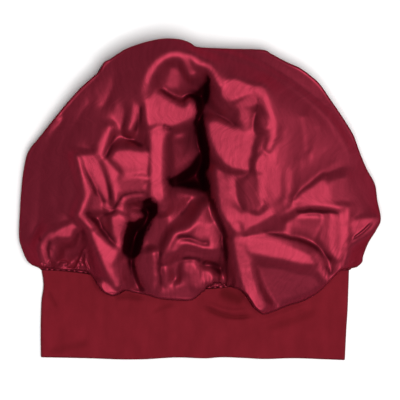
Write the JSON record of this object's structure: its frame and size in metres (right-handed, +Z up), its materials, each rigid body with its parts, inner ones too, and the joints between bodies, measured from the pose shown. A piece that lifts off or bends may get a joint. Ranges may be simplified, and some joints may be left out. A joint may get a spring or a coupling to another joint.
{
  "type": "sleep bonnet",
  "caption": "Satin sleep bonnet lying flat: a gathered, slumped crown bag sewn to a wide doubled jersey band that is open at the hem.",
  "frame": {"origin": "middle of the whole bonnet's outline, on the surface it lies on", "axes": "+X across the bonnet from its left end to its right as the picture shows it, +Y from the hem towards the crown, +Z up from the surface"},
  "size_m": [0.3328, 0.2957, 0.0859],
  "materials": {
    "satin": "smooth glossy woven satin",
    "jersey": "matt fine-ribbed stretch knit"
  },
  "bodies": {
    "root": {"crown": "satin", "band": "jersey"}
  },
  "joints": []
}
